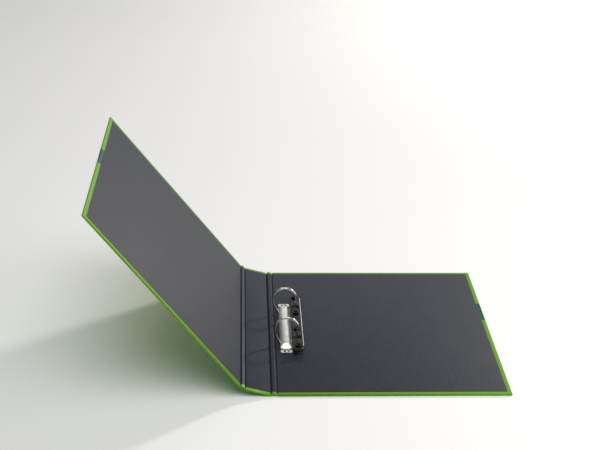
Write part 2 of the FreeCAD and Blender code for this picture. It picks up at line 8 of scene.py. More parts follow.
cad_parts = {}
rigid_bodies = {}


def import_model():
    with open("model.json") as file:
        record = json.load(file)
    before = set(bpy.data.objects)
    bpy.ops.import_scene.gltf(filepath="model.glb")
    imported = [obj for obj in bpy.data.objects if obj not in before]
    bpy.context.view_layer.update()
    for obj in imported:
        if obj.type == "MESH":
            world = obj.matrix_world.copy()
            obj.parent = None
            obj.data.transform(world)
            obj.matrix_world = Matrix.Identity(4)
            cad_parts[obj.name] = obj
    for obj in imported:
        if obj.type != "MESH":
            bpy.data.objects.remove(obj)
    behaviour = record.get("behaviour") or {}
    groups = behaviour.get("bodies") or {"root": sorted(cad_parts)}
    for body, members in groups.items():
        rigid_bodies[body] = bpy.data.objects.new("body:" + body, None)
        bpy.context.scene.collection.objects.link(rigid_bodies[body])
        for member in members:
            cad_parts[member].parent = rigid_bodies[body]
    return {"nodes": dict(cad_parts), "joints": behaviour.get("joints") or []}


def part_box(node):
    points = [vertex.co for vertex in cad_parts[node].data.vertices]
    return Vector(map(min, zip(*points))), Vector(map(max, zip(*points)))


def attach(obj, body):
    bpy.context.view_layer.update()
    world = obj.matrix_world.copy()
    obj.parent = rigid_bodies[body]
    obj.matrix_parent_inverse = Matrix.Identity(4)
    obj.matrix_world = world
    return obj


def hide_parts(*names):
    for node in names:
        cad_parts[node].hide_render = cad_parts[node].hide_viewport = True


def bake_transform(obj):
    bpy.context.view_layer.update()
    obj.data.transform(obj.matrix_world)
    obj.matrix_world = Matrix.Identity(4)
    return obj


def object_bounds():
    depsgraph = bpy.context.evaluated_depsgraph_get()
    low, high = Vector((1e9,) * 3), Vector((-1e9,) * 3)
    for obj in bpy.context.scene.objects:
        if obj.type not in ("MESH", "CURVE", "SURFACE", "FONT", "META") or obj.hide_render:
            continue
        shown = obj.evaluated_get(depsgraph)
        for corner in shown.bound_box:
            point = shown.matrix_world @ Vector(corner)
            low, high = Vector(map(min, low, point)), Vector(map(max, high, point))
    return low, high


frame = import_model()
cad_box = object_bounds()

MM = 0.001

# ---------------------------------------------------------------- the frame's own sizes

FOLD = {joint["name"]: Vector(joint["pos_m"]) for joint in frame["joints"] if "pos_m" in joint}
WRAP_BOX, LINER_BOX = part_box("back_wrap"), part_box("back_liner")
BACK_FOLD = FOLD["back_inner_fold"]

FOLD_HEIGHT = BACK_FOLD.z                           # the folds lie this far above the outer face
HALF_HEIGHT = WRAP_BOX[1].y                         # half the covers' height, along Y
PANEL_NEAR = WRAP_BOX[0].x - BACK_FOLD.x            # from a fold to the board beside it
COVER_FAR = WRAP_BOX[1].x - BACK_FOLD.x             # from a cover's fold to its fore-edge
SPINE_FAR = (FOLD["front_inner_fold"] - FOLD["back_outer_fold"]).length - PANEL_NEAR
MARGIN = HALF_HEIGHT - LINER_BOX[1].y               # lime margin round the liner
OUTER_FACE = -FOLD_HEIGHT                           # these three are heights above a fold
TURN_IN_FACE = WRAP_BOX[1].z - FOLD_HEIGHT
LINER_FACE = LINER_BOX[1].z - FOLD_HEIGHT
STRIP_WIDTH = (FOLD["back_outer_fold"] - BACK_FOLD).length
STRIP_HALF_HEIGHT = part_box("back_strip_wrap")[1].y

PAPER = 0.2 * MM
EDGE_ROUND = 0.8 * MM
TURN_IN_WIDTH = 15 * MM                             # it runs on under the liner


def lean_of(node):
    """How far a CAD panel leans up about Y, from the normal of its largest face."""
    face = max(frame["nodes"][node].data.polygons, key=lambda polygon: polygon.area)
    normal = face.normal if face.normal.z > 0 else -face.normal
    return math.atan2(normal.x, normal.z)


def frame_at(origin, lean):
    """A panel's frame, with its origin on the fold and leaning up about Y."""
    return Matrix.Translation(origin) @ Matrix.Rotation(lean, 4, "Y")


SPINE_LEAN, FRONT_LEAN = lean_of("spine_liner"), lean_of("front_liner")
STRIP_RUN = FOLD["front_outer_fold"] - FOLD["front_inner_fold"]
FRONT_STRIP_LEAN = math.atan2(STRIP_RUN.z, -STRIP_RUN.x)

# ---------------------------------------------------------------- materials


class Shader:
    """A procedural material: a Principled shader, with short calls for the nodes that feed it."""

    def __init__(self, name, **sockets):
        self.material = bpy.data.materials.new(name)
        self.material.use_nodes = True
        self.tree = self.material.node_tree
        self.surface = self.tree.nodes["Principled BSDF"]
        for socket, value in sockets.items():
            self.surface.inputs[socket.replace("_", " ")].default_value = value
        self.place = self.node("ShaderNodeTexCoord").outputs["Object"]

    def node(self, kind, inputs=None, **settings):
        """A new node; an input given as a socket is linked, and one given as a value is set."""
        made = self.tree.nodes.new(kind)
        for name, value in settings.items():
            setattr(made, name, value)
        for name, value in (inputs or {}).items():
            if isinstance(value, bpy.types.NodeSocket):
                self.tree.links.new(value, made.inputs[name])
            else:
                made.inputs[name].default_value = value
        return made

    def math(self, operation, first, second=0.0):
        return self.node("ShaderNodeMath", {0: first, 1: second}, operation=operation).outputs[0]

    def axes(self):
        return self.node("ShaderNodeSeparateXYZ", {0: self.place}).outputs

    def stretched(self, scale):
        return self.node("ShaderNodeMapping", {"Vector": self.place, "Scale": scale}).outputs[0]

    def noise(self, scale, detail=3.0, vector=None, roughness=0.5):
        inputs = {"Vector": vector or self.place, "Scale": scale, "Detail": detail, "Roughness": roughness}
        return self.node("ShaderNodeTexNoise", inputs).outputs["Fac"]

    def cells(self, scale):
        """Distance to the nearest of scattered points, with soft ridges between them."""
        inputs = {"Vector": self.place, "Scale": scale}
        return self.node("ShaderNodeTexVoronoi", inputs, feature="SMOOTH_F1").outputs["Distance"]

    def span(self, value, low, high, to_low=0.0, to_high=1.0):
        """A value from low to high, brought to run from to_low to to_high and held at its ends."""
        inputs = {"Value": value, "From Min": low, "From Max": high, "To Min": to_low, "To Max": to_high}
        return self.node("ShaderNodeMapRange", inputs).outputs[0]

    def mix(self, share, first, second, blend_type="MIX"):
        """The first colour, with a share of the second mixed in; either may be a socket."""
        made = self.node("ShaderNodeMix", {0: share}, data_type="RGBA", blend_type=blend_type)
        first_input, second_input, colour_output = 6, 7, 2
        for index, colour in ((first_input, first), (second_input, second)):
            if isinstance(colour, bpy.types.NodeSocket):
                self.tree.links.new(colour, made.inputs[index])
            else:
                made.inputs[index].default_value = (*colour, 1)
        return made.outputs[colour_output]

    def feed(self, socket, value):
        self.tree.links.new(value, self.surface.inputs[socket])

    def bump(self, *layers):
        """Layers of (height, strength, depth in metres), each over the one before."""
        normal = None
        for height, strength, depth in layers:
            inputs = {"Height": height, "Strength": strength, "Distance": depth}
            if normal:
                inputs["Normal"] = normal
            normal = self.node("ShaderNodeBump", inputs).outputs[0]
        self.feed("Normal", normal)


# Head and tail colours of the cover and spine papers. The drop from head to tail is partly a printed hue
# shift and partly painted light: lighter at the head, darker at the tail.
LIME_HEAD_WITH_PAINTED_LIGHT = (0.31, 0.51, 0.004)
LIME_TAIL_WITH_PAINTED_SHADE = (0.13, 0.4, 0.008)
LIME_WORN = (0.3, 0.5, 0.1)
SPINE_HEAD_WITH_PAINTED_LIGHT = (0.16, 0.42, 0.02)
SPINE_TAIL_WITH_PAINTED_SHADE = (0.09, 0.3, 0.018)
TURNED_IN = (0.12, 0.3, 0.01)
PRINT_GREEN = (0.001, 0.085, 0.03)


def printed_tab(shader, along, across, reach, height, half_width):
    """1 inside a round-ended printed tab that runs in from along = 0 to reach, and 0 outside it."""
    beyond = shader.math("MAXIMUM", shader.math("SUBTRACT", along, reach), 0.0)
    aside = shader.math("SUBTRACT", across, height)
    squares = shader.math("ADD", shader.math("POWER", beyond, 2.0), shader.math("POWER", aside, 2.0))
    outside = shader.math("SUBTRACT", shader.math("SQRT", squares), half_width)
    return shader.span(outside, -0.1 * MM, 0.1 * MM, 1.0, 0.0)


def lime_paper(name, head, tail, tab=None, tab_start=None):
    """Coated cover paper, darker from head to tail: partly a printed hue shift and partly painted light,
    lighter at the head and darker at the tail. It has a fine grain and worn edges, and a deeper green
    where it is turned in. A panel's paper has a plain printed tab; a fold's has none."""
    shader = Shader(name, Specular_IOR_Level=0.09)
    x, y, z = shader.axes()
    # Painted light in part: the paper is lighter towards the head, on top of a printed hue shift.
    length = shader.span(y, -HALF_HEIGHT, HALF_HEIGHT)
    colour = shader.mix(length, tail, head)
    mottle = shader.span(shader.noise(60, 4.0), 0.3, 0.7, 0.93, 1.05)
    colour = shader.mix(1.0, colour, mottle, "MULTIPLY")
    from_middle = shader.math("ABSOLUTE", y)
    if tab:
        turned_in = shader.span(z, OUTER_FACE + 0.2 * MM, OUTER_FACE + MM)
        colour = shader.mix(turned_in, colour, TURNED_IN)
        along = shader.math("SUBTRACT", tab_start, shader.math("ABSOLUTE", x))
        colour = shader.mix(printed_tab(shader, along, y, *tab), colour, PRINT_GREEN)
    else:
        turned_in = shader.span(from_middle, STRIP_HALF_HEIGHT - 1.5 * MM, STRIP_HALF_HEIGHT - 0.4 * MM)
        colour = shader.mix(turned_in, colour, TURNED_IN)
    rim = shader.span(from_middle, HALF_HEIGHT - 0.5 * MM, HALF_HEIGHT - 0.1 * MM)
    wear = shader.math("MULTIPLY", rim, shader.span(shader.noise(380, 5.0), 0.52, 0.7))
    colour = shader.mix(shader.math("MULTIPLY", wear, 0.4), colour, LIME_WORN)
    shader.feed("Base Color", colour)
    shader.feed("Roughness", shader.span(shader.noise(900, 4.0), 0.3, 0.7, 0.33, 0.46))
    shader.bump((shader.noise(2600, 3.0), 0.12, 0.05 * MM), (shader.noise(240, 2.0), 0.1, 0.12 * MM))
    return shader.material


def dark_liner():
    """Embossed liner paper: a fine pebble grain over a faint weave, with faint mottling."""
    shader = Shader("dark_liner", Specular_IOR_Level=0.16)
    pebbles = shader.cells(950)
    fibres = shader.noise(1.0, 3.0, shader.stretched((2400, 700, 2400)))
    height = shader.math("ADD", pebbles, shader.math("MULTIPLY", fibres, 0.6))
    speck = shader.span(height, 0.35, 1.1)
    colour = shader.mix(speck, (0.0135, 0.0165, 0.0255), (0.035, 0.04, 0.054))
    blotch = shader.span(shader.noise(35, 4.0), 0.35, 0.65)
    colour = shader.mix(shader.math("MULTIPLY", blotch, 0.25), colour, (0.016, 0.019, 0.029))
    shader.feed("Base Color", colour)
    shader.feed("Roughness", shader.span(speck, 0.0, 1.0, 0.48, 0.64))
    dimples = shader.noise(430, 4.0, roughness=0.6)
    shader.bump((dimples, 0.45, 0.5 * MM), (fibres, 0.3, 0.06 * MM), (pebbles, 0.5, 0.1 * MM))
    return shader.material


def greyboard():
    """Bare board, with fibres lying along Y."""
    shader = Shader("greyboard", Roughness=0.9)
    fibres = shader.noise(1.0, 6.0, shader.stretched((500, 90, 2500)))
    shader.feed("Base Color", shader.mix(fibres, (0.2, 0.18, 0.15), (0.42, 0.39, 0.34)))
    shader.bump((fibres, 0.6, 0.15 * MM))
    return shader.material


def metal(name, dark, light, roughness, brushing, scratches=0.1):
    """Plated or plain steel: brushed along Y by a share, with fine scratches and faint staining."""
    shader = Shader(name, Metallic=1.0)
    grain = shader.noise(1.0, 4.0, shader.stretched((3500, 60, 3500)))
    stain = shader.span(shader.noise(130, 4.0), 0.35, 0.7)
    shader.feed("Base Color", shader.mix(stain, dark, light))
    uneven = shader.math("MULTIPLY", shader.math("ADD", grain, shader.noise(700, 3.0)), 0.5)
    shader.feed("Roughness", shader.span(uneven, 0.3, 0.7, roughness * 0.75, roughness * 1.3))
    shader.bump((grain, brushing, 0.02 * MM), (shader.noise(900, 5.0), scratches, 0.02 * MM))
    return shader.material


def moulded_plastic(name, dark, light, roughness, gloss):
    """Moulded plastic with a spark-eroded skin, rubbed smoother and paler in places."""
    shader = Shader(name, Specular_IOR_Level=gloss)
    rubbed = shader.span(shader.noise(160, 4.0), 0.45, 0.7)
    shader.feed("Base Color", shader.mix(rubbed, dark, light))
    shader.feed("Roughness", shader.span(rubbed, 0.0, 1.0, roughness, roughness * 0.7))
    shader.bump((shader.noise(3200, 2.0), 0.3, 0.05 * MM))
    return shader.material


# Each printed tab is its reach to where its end rounds off, its middle's place along Y and half its width.
FRONT_TAB = (34 * MM, 20.5 * MM, 22.5 * MM)
BACK_TAB = (34 * MM, 43.5 * MM, 22.5 * MM)
SPINE_TAB = (9 * MM, 51 * MM, 8 * MM)
SPINE_TAB_START = SPINE_FAR - 5 * MM

FRONT_LIME = lime_paper("lime_front", LIME_HEAD_WITH_PAINTED_LIGHT, LIME_TAIL_WITH_PAINTED_SHADE, FRONT_TAB, COVER_FAR)
BACK_LIME = lime_paper("lime_back", LIME_HEAD_WITH_PAINTED_LIGHT, LIME_TAIL_WITH_PAINTED_SHADE, BACK_TAB, COVER_FAR)
SPINE_LIME = lime_paper("lime_spine", SPINE_HEAD_WITH_PAINTED_LIGHT, SPINE_TAIL_WITH_PAINTED_SHADE, SPINE_TAB, SPINE_TAB_START)
FOLD_LIME = lime_paper("lime_fold", SPINE_HEAD_WITH_PAINTED_LIGHT, SPINE_TAIL_WITH_PAINTED_SHADE)
LINER = dark_liner()
GREYBOARD = greyboard()
NICKEL = metal("nickel", (0.76, 0.75, 0.71), (0.9, 0.89, 0.86), 0.42, 0.25)
CHROME = metal("chrome", (0.47, 0.47, 0.47), (0.57, 0.57, 0.57), 0.2, 0.04, 0.03)
STEEL = metal("steel", (0.7, 0.72, 0.75), (0.84, 0.86, 0.9), 0.34, 0.5)
BAR_PLASTIC = moulded_plastic("bar_plastic", (0.02, 0.019, 0.018), (0.037, 0.035, 0.033), 0.5, 0.2)
GRIP_PLASTIC = moulded_plastic("grip_plastic", (0.0015, 0.0015, 0.0015), (0.004, 0.004, 0.004), 0.5, 0.08)

# ---------------------------------------------------------------- mesh helpers


def finished(name, mesh, material, body, replaces=(), place=None, sharp=35, closed=True):
    """Turns a bmesh into a piece that rides on a body and stands for CAD nodes. An open sheet keeps the
    way its faces look; a closed one has them turned outwards."""
    if closed:
        bmesh.ops.recalc_face_normals(mesh, faces=mesh.faces)
    data = bpy.data.meshes.new(name)
    mesh.to_mesh(data)
    mesh.free()
    data.materials.append(material)
    data.shade_smooth()
    data.set_sharp_from_angle(angle=math.radians(sharp))
    piece = bpy.data.objects.new(name, data)
    bpy.context.scene.collection.objects.link(piece)
    if place:
        piece.matrix_world = place
    if body:
        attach(piece, body)
    if replaces:
        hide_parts(*replaces)
    return piece


def add_box(mesh, low, high):
    """Adds a box between two corners."""
    centre, size = (Vector(low) + Vector(high)) / 2, Vector(high) - Vector(low)
    matrix = Matrix.Translation(centre) @ Matrix.Diagonal((*size, 1))
    bmesh.ops.create_cube(mesh, size=1, matrix=matrix)


def prism(mesh, loops):
    """Adds a closed body through loops of vertices, with a face over each end."""
    count = len(loops[0])
    for first, second in zip(loops, loops[1:]):
        for i in range(count):
            j = (i + 1) % count
            mesh.faces.new((first[i], first[j], second[j], second[i]))
    mesh.faces.new(loops[0])
    mesh.faces.new(loops[-1])


def upright_edges(mesh):
    """The edges of an upright box that stand along Z."""
    return [edge for edge in mesh.edges if abs(edge.verts[0].co.z - edge.verts[1].co.z) > MM]


def bevel(mesh, edges, width, segments):
    """Rounds edges of a mesh."""
    bmesh.ops.bevel(mesh, geom=list(edges), offset=width, segments=segments, profile=0.5,
                    affect="EDGES", clamp_overlap=True)


def lathe(profile, steps=48):
    """A solid of revolution about Z from (radius, height) points, the first and last on the axis."""
    mesh = bmesh.new()
    rings = []
    for radius, height in profile:
        if radius == 0:
            rings.append([mesh.verts.new((0, 0, height))])
            continue
        turns = [2 * math.pi * i / steps for i in range(steps)]
        rings.append([mesh.verts.new((radius * math.cos(t), radius * math.sin(t), height)) for t in turns])
    for lower, upper in zip(rings, rings[1:]):
        for i in range(steps):
            j = (i + 1) % steps
            corners = [lower[i % len(lower)], lower[j % len(lower)]]
            corners += [upper[j % len(upper)], upper[i % len(upper)]]
            mesh.faces.new(list(dict.fromkeys(corners)))      # an end on the axis makes a triangle
    return mesh


def tube(points, radius, steps, end_round=0.0):
    """A round bar along points in the XZ plane, its ends rounded off by a radius."""
    mesh = bmesh.new()
    rings = []

    def ring(centre, tangent, size):
        across = tangent.cross(Vector((0, 1, 0))).normalized()
        turns = [2 * math.pi * i / steps for i in range(steps)]
        return [mesh.verts.new(centre + size * (math.cos(t) * across + math.sin(t) * Vector((0, 1, 0))))
                for t in turns]

    for i, point in enumerate(points):
        before, after = points[max(i - 1, 0)], points[min(i + 1, len(points) - 1)]
        tangent = (after - before).normalized()
        if end_round and i in (0, len(points) - 1):
            inward = tangent if i == 0 else -tangent
            arc = [(math.sin(a) * end_round, (1 - math.cos(a)) * end_round)
                   for a in (math.radians(d) for d in (0, 30, 60, 90))]
            steps_in = [(inset, radius - end_round + rise) for rise, inset in arc]
            rims = [ring(point + inward * inset, tangent, size) for inset, size in steps_in]
            rings += rims if i == 0 else rims[::-1]
        else:
            rings.append(ring(point, tangent, radius))
    prism(mesh, rings)
    return mesh


def arc_points(centre, radius, start, end, count):
    """Points in the XZ plane from one angle to another, in degrees, anticlockwise from +X."""
    turns = [math.radians(start + (end - start) * i / count) for i in range(count + 1)]
    return [centre + radius * Vector((math.cos(t), 0, math.sin(t))) for t in turns]


def smooth(value):
    """0 up to 0, 1 from 1 on, and an even curve between."""
    value = min(max(value, 0.0), 1.0)
    return value * value * (3 - 2 * value)


def carve(mesh, *tools):
    """The mesh with each of the tool meshes cut out of it."""
    scene = bpy.context.scene.collection.objects

    def temporary(source):
        data = bpy.data.meshes.new("carving")
        bmesh.ops.recalc_face_normals(source, faces=source.faces)
        source.to_mesh(data)
        source.free()
        made = bpy.data.objects.new("carving", data)
        scene.link(made)
        return made

    body = temporary(mesh)
    cutters = [temporary(tool) for tool in tools]
    for cutter in cutters:
        cut = body.modifiers.new("cut", "BOOLEAN")
        cut.operation, cut.solver, cut.object = "DIFFERENCE", "EXACT", cutter
    bpy.context.view_layer.update()
    evaluated = body.evaluated_get(bpy.context.evaluated_depsgraph_get())
    result = bmesh.new()
    result.from_mesh(evaluated.to_mesh())
    evaluated.to_mesh_clear()
    for made in (body, *cutters):
        data = made.data
        bpy.data.objects.remove(made)
        bpy.data.meshes.remove(data)
    return result


def soften(piece, width, segments=2):
    """Rounds a piece's sharp edges, those that turn by more than 30 degrees."""
    modifier = piece.modifiers.new("edges", "BEVEL")
    modifier.width, modifier.segments = width, segments
    modifier.limit_method, modifier.angle_limit = "ANGLE", math.radians(30)
    modifier.harden_normals = True


# ---------------------------------------------------------------- panels
# Each is drawn with its fold at the origin and its inner face up. side is 1 for a panel that runs to +X
# from its fold and -1 for one that runs to -X.

FACING = 0.9                     # a face looks along an axis when its normal's share of it is above this
LINER_ROUND = 0.09 * MM
FLAP_RISE = 0.6                  # the mitred flaps' share of the height from the margin to the liner's face


def ordered(side, first, second):
    """Two distances from a fold as X, the lower first."""
    return sorted((side * first, side * second))


def cover_paper(name, body, side, far, place, material, edge_wrapped, replaces):
    """The wrapped paper of a panel: outer face, rounded free edges, and margins turned in."""
    mesh = bmesh.new()
    start, end = ordered(side, PANEL_NEAR, far)
    add_box(mesh, (start, -HALF_HEIGHT, OUTER_FACE), (end, HALF_HEIGHT, TURN_IN_FACE))
    near_x, far_x = side * PANEL_NEAR, side * far

    def lies_at(edge, x):
        return all(abs(vertex.co.x - x) < PAPER / 2 for vertex in edge.verts)

    cut_ends = [near_x] if edge_wrapped else [near_x, far_x]
    free = [edge for edge in mesh.edges if not any(lies_at(edge, x) for x in cut_ends)]
    bevel(mesh, free, EDGE_ROUND, 6)
    cuts = [Vector((0, y, 0)) for y in (HALF_HEIGHT - TURN_IN_WIDTH, TURN_IN_WIDTH - HALF_HEIGHT)]
    for point in cuts:
        geometry = mesh.verts[:] + mesh.edges[:] + mesh.faces[:]
        bmesh.ops.bisect_plane(mesh, geom=geometry, plane_co=point, plane_no=(0, 1, 0))
    window_end = far - TURN_IN_WIDTH if edge_wrapped else far
    geometry = mesh.verts[:] + mesh.edges[:] + mesh.faces[:]
    bmesh.ops.bisect_plane(mesh, geom=geometry, plane_co=(side * window_end, 0, 0), plane_no=(1, 0, 0))
    gone = []
    for face in mesh.faces:
        centre, normal = face.calc_center_median(), face.normal
        in_window = (abs(centre.y) < HALF_HEIGHT - TURN_IN_WIDTH and abs(centre.x) < window_end
                     and normal.z > FACING)
        at_cut = any(abs(centre.x - x) < PAPER / 2 and abs(normal.x) > FACING for x in cut_ends)
        if in_window or at_cut:
            gone.append(face)
    bmesh.ops.delete(mesh, geom=gone, context="FACES")
    piece = finished(name, mesh, material, body, replaces, place, closed=False)
    sheet = piece.modifiers.new("paper", "SOLIDIFY")
    sheet.thickness, sheet.offset = PAPER, -1


def corner_flaps(name, body, side, far, place, material):
    """The head and tail margins, folded over the fore-edge margin with a mitre at each corner."""
    lift = LINER_FACE - TURN_IN_FACE
    for end, sign in (("head", 1), ("tail", -1)):
        mesh = bmesh.new()
        outer, inner = HALF_HEIGHT - EDGE_ROUND, HALF_HEIGHT - MARGIN
        tip, mitre = far - EDGE_ROUND, far - MARGIN
        outline = [(PANEL_NEAR, outer), (tip, outer), (mitre, inner), (PANEL_NEAR, inner)]
        lower = [mesh.verts.new((side * x, sign * y, TURN_IN_FACE - PAPER / 2)) for x, y in outline]
        upper = [mesh.verts.new((side * x, sign * y, TURN_IN_FACE + lift * FLAP_RISE)) for x, y in outline]
        prism(mesh, [lower, upper])
        bevel(mesh, [e for e in mesh.edges if all(v in upper for v in e.verts)], lift * 0.5, 2)
        finished(f"{name}_{end}", mesh, material, body, (), place)


def liner_sheet(name, body, side, far, place, replaces):
    """The dark sheet inside a panel, its edges pressed down."""
    mesh = bmesh.new()
    start, end = ordered(side, PANEL_NEAR, far)
    half = HALF_HEIGHT - MARGIN
    add_box(mesh, (start, -half, TURN_IN_FACE - PAPER), (end, half, LINER_FACE))
    top = [e for e in mesh.edges if all(v.co.z > TURN_IN_FACE for v in e.verts)
           and not all(abs(v.co.x - side * PANEL_NEAR) < PAPER / 2 for v in e.verts)]
    bevel(mesh, top, LINER_ROUND, 3)
    finished(name, mesh, LINER, body, replaces, place)


def make_cover(name, body, side, place, material):
    """A cover's paper, its mitred margins and its liner."""
    cover_paper(f"{name}_paper", body, side, COVER_FAR, place, material, True, [f"{name}_wrap"])
    corner_flaps(f"{name}_margin", body, side, COVER_FAR, place, material)
    liner_sheet(f"{name}_liner_sheet", body, side, COVER_FAR - MARGIN, place, [f"{name}_liner"])


make_cover("back", "back_cover", 1, frame_at(BACK_FOLD, 0), BACK_LIME)
make_cover("front", "front_cover", -1, frame_at(FOLD["front_outer_fold"], FRONT_LEAN), FRONT_LIME)
SPINE_PLACE = frame_at(FOLD["back_outer_fold"], SPINE_LEAN)
cover_paper("spine_paper", "spine", -1, SPINE_FAR, SPINE_PLACE, SPINE_LIME, False, ["spine_wrap"])
liner_sheet("spine_liner_sheet", "spine", -1, SPINE_FAR, SPINE_PLACE, ["spine_liner"])
for board in ("back_board", "spine_board", "front_board"):
    frame["nodes"][board].data.materials.clear()
    frame["nodes"][board].data.materials.append(GREYBOARD)

# ---------------------------------------------------------------- hinge strips
# Each fold is one piece of paper and one of liner. They reach from the panel's board to the middle of
# the strip, and are bent round the fold as it stands; no body carries them.

GROOVE_FACE = 0.9 * MM           # the liner at the bottom of the groove along a fold
RIDGE_FACE = 3.1 * MM            # the liner along the middle of a strip, which bulges inwards
OUTER_RISE = 1.1 * MM            # how far the outer paper is drawn in along the middle of a strip
FLANK_START, FLANK_END = 0.3 * MM, 2.5 * MM
END_ROUND, END_ROUND_STEPS = 0.3 * MM, 3
END_INSET_LIMIT = 0.45           # the end's rounding stops at this share of the slab's thickness
LINER_SHEET = 0.1 * MM
FOLD_STEPS = 32


def fold_stations():
    """Distances from the fold, from the board's edge (positive) to the middle of the strip."""
    reach = PANEL_NEAR + STRIP_WIDTH / 2
    return [PANEL_NEAR - reach * i / FOLD_STEPS for i in range(FOLD_STEPS + 1)]


def up_the_flank(distance):
    """0 from the board to the groove, 1 along the middle of the strip, smooth between them."""
    return smooth((-distance - FLANK_START) / (FLANK_END - FLANK_START))


def outer_height(distance):
    """The outer paper: flush with the boards, and drawn in along the strip."""
    return OUTER_FACE + OUTER_RISE * up_the_flank(distance)


def inner_height(distance):
    """The inner face: level with the liner at the board, down into the groove, and up over the ridge."""
    if distance > -FLANK_START:
        into = smooth((distance + FLANK_START) / (PANEL_NEAR + FLANK_START))
        return GROOVE_FACE + (LINER_FACE - GROOVE_FACE) * into
    return GROOVE_FACE + (RIDGE_FACE - GROOVE_FACE) * up_the_flank(distance)


def fold_mesh(fold, panel_side, panel_lean, strip_lean, low, high, half_length):
    """A bent slab between two heights, each a function of the distance from the fold."""
    mesh = bmesh.new()
    stations = fold_stations()
    ends = [END_ROUND * i / END_ROUND_STEPS for i in range(END_ROUND_STEPS + 1)]
    rows = [-half_length + d for d in ends] + [half_length - d for d in reversed(ends)]

    def point(distance, height, y):
        share = smooth((PANEL_NEAR - distance) / (2 * PANEL_NEAR))
        lean = panel_lean + (strip_lean - panel_lean) * share
        offset = Vector((panel_side * distance, 0, height))
        return fold + Matrix.Rotation(lean, 3, "Y") @ offset + Vector((0, y, 0))

    loops = []
    for y in rows:
        depth = half_length - abs(y)
        inset = END_ROUND - math.sqrt(max(END_ROUND**2 - max(END_ROUND - depth, 0) ** 2, 0))
        limit = [END_INSET_LIMIT * (high(d) - low(d)) for d in stations]
        under = [point(d, low(d) + min(inset, m), y) for d, m in zip(stations, limit)]
        over = [point(d, high(d) - min(inset, m), y) for d, m in zip(stations, limit)]
        loops.append([mesh.verts.new(p) for p in under + over[::-1]])
    prism(mesh, loops)
    return mesh


def make_fold(name, joint, strip, panel_side, panel_lean, strip_lean):
    """The paper and the liner over one fold, their lean blended from the panel's to the strip's; neither is
    attached to a body.
    """
    fold = FOLD[joint]
    layers = (
        ("paper", FOLD_LIME, "lime_paper", outer_height, lambda d: inner_height(d) - LINER_SHEET,
         STRIP_HALF_HEIGHT, f"{strip}_wrap"),
        ("liner", LINER, "dark_liner", lambda d: inner_height(d) - LINER_SHEET, inner_height,
         HALF_HEIGHT - MARGIN, f"{strip}_liner"))
    for layer, material, slot, low, high, half_length, node in layers:
        mesh = fold_mesh(fold, panel_side, panel_lean, strip_lean, low, high, half_length)
        piece = finished(f"{name}_{layer}", mesh, material, None, [node], sharp=50)
        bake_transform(piece)


make_fold("back_cover_fold", "back_inner_fold", "back_strip", 1, 0, 0)
make_fold("back_spine_fold", "back_outer_fold", "back_strip", -1, SPINE_LEAN, 0)
make_fold("front_spine_fold", "front_inner_fold", "front_strip", 1, SPINE_LEAN, FRONT_STRIP_LEAN)
make_fold("front_cover_fold", "front_outer_fold", "front_strip", -1, FRONT_LEAN,
          FRONT_STRIP_LEAN)

# ---------------------------------------------------------------- ring mechanism
# Drawn with the middle of the plate's underside at the origin.

PLATE_BOX, RING_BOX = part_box("mechanism_plate"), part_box("right_ring_head")
MECHANISM = Matrix.Translation(((PLATE_BOX[0].x + PLATE_BOX[1].x) / 2, 0, PLATE_BOX[0].z))
PLATE_HALF = (PLATE_BOX[1].x - PLATE_BOX[0].x) / 2
PLATE_CROWN = PLATE_BOX[1].z - PLATE_BOX[0].z
PLATE_END = PLATE_BOX[1].y
RING_Y = (RING_BOX[0].y + RING_BOX[1].y) / 2
WIRE = (RING_BOX[1].y - RING_BOX[0].y) / 2             # the wire's radius
RIVET_Y = (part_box("rivet_head")[0].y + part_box("rivet_head")[1].y) / 2
DOME_END = PLATE_END - 9 * MM
DOME_SLOPE = 7 * MM
PLATE_GAUGE = 0.7 * MM
PLATE_SHOULDER = 2.7 * MM
TAB_HALF = PLATE_HALF - 0.4 * MM
TAB_HEIGHT = 0.9 * MM
TAB_ROUND = 2.5 * MM
PLATE_COLUMNS = 28
END_STEPS, TAB_STEPS, SLOPE_STEPS = 8, 21, 15
TAB_STEP, SLOPE_STEP = 0.35 * MM, 0.4 * MM


def dome_share(y):
    """1 on the dome, 0 on the flat tabs, smooth between them."""
    return smooth((DOME_END - abs(y)) / DOME_SLOPE)


def plate_half_width(y):
    """Half the plate's width: full on the dome, and round at the end of each tab."""
    width = TAB_HALF + (PLATE_HALF - TAB_HALF) * dome_share(y)
    from_end = PLATE_END - abs(y)
    if from_end < TAB_ROUND:
        width -= TAB_ROUND - math.sqrt(TAB_ROUND**2 - (TAB_ROUND - from_end) ** 2)
    return width


def plate_height(share_across, y):
    """Height of the plate's upper face, at a share of its half width from the middle."""
    rise = PLATE_CROWN - PLATE_SHOULDER
    radius = (PLATE_HALF**2 + rise**2) / (2 * rise)
    x = share_across * PLATE_HALF
    arch = PLATE_SHOULDER + rise - radius + math.sqrt(radius**2 - x * x)
    return TAB_HEIGHT + (arch - TAB_HEIGHT) * dome_share(y)


